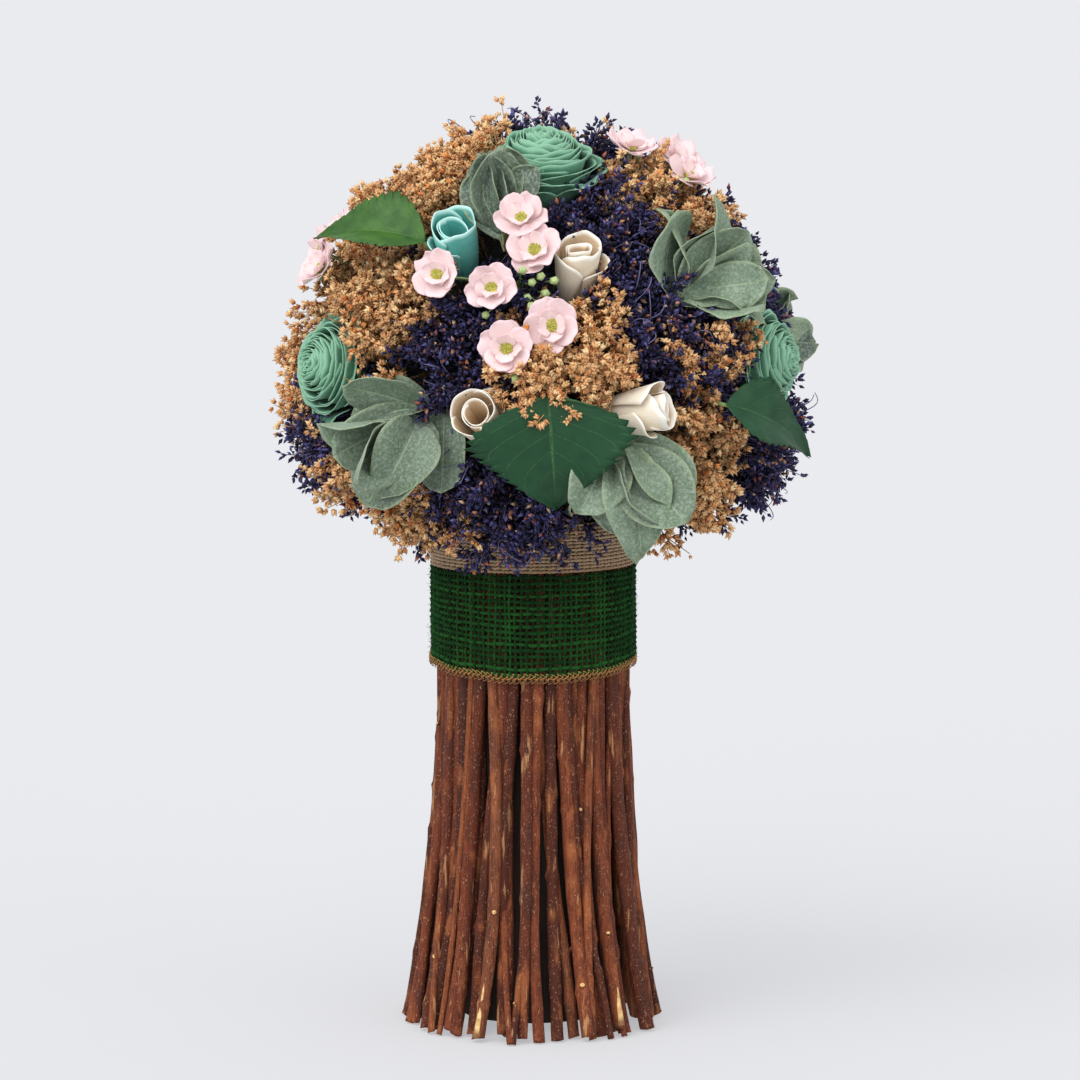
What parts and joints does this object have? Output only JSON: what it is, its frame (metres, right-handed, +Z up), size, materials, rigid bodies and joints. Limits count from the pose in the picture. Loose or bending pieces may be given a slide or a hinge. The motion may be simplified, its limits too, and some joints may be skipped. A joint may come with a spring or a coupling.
{
  "type": "standing dried flower bouquet",
  "caption": "Round head of dried, wood-shaving and cloth flowers on a bundle of twigs tied with twine and a burlap ribbon, standing on its cut twig ends.",
  "frame": {"origin": "on the surface it stands on, under the middle of the bunch's bounding box", "axes": "+Z up along the twigs, -Y towards the front, +X to the right seen from the front"},
  "size_m": [0.2578, 0.2496, 0.4444],
  "materials": {
    "twig_bark": "matt red-brown bark, pale cut ends",
    "core_wood": "dark, rough",
    "floral_foam": "dark green, porous",
    "burlap": "deep green open weave",
    "hem_thread": "orange-tan chain stitch",
    "jute_twine": "natural twisted fibre",
    "sola_green": "matt sage-green pith with paler edges",
    "shaving_cream": "matt cream curled wood shaving",
    "shaving_turquoise": "matt turquoise curled wood shaving",
    "petal_pink": "soft pale pink cloth petals",
    "leaf_green": "waxed dark green cloth leaf with paler veins",
    "eucalyptus_leaf": "dry grey-green leaf with whitish bloom",
    "lavender_dry": "dry dark indigo buds with pale stems",
    "seed_tan": "dry tan husks with rust specks"
  },
  "bodies": {
    "root": {"twig_group_1": "twig_bark", "twig_group_2": "twig_bark", "twig_group_3": "twig_bark", "twig_group_4": "twig_bark", "twig_group_5": "twig_bark", "twig_group_6": "twig_bark", "core_post": "core_wood", "foam_ball": "floral_foam", "burlap_ribbon": "burlap", "ribbon_hem": "hem_thread", "twine_wrap": "jute_twine", "sola_rose_1": "sola_green", "sola_rose_2": "sola_green", "sola_rose_3": "sola_green", "sola_rose_4": "sola_green", "sola_rose_5": "sola_green", "rosebud_1": "shaving_turquoise", "rosebud_2": "shaving_cream", "rosebud_3": "shaving_cream", "rosebud_4": "shaving_cream", "rosebud_5": "shaving_turquoise", "rosebud_6": "shaving_cream", "leaf_1": "leaf_green", "leaf_2": "leaf_green", "leaf_3": "leaf_green", "leaf_4": "leaf_green", "blossom_spray_1": "petal_pink", "blossom_spray_2": "petal_pink", "blossom_spray_3": "petal_pink", "blossom_spray_4": "petal_pink", "blossom_spray_5": "petal_pink", "eucalyptus_1": "eucalyptus_leaf", "eucalyptus_2": "eucalyptus_leaf", "eucalyptus_3": "eucalyptus_leaf", "eucalyptus_4": "eucalyptus_leaf", "eucalyptus_5": "eucalyptus_leaf", "eucalyptus_6": "eucalyptus_leaf", "lavender_1": "lavender_dry", "lavender_2": "lavender_dry", "lavender_3": "lavender_dry", "lavender_4": "lavender_dry", "lavender_5": "lavender_dry", "lavender_6": "lavender_dry", "lavender_7": "lavender_dry", "lavender_8": "lavender_dry", "lavender_9": "lavender_dry", "lavender_10": "lavender_dry", "lavender_11": "lavender_dry", "lavender_12": "lavender_dry", "seed_head_1": "seed_tan", "seed_head_2": "seed_tan", "seed_head_3": "seed_tan", "seed_head_4": "seed_tan", "seed_head_5": "seed_tan", "seed_head_6": "seed_tan", "seed_head_7": "seed_tan", "seed_head_8": "seed_tan", "seed_head_9": "seed_tan", "seed_head_10": "seed_tan", "seed_head_11": "seed_tan"}
  },
  "joints": []
}
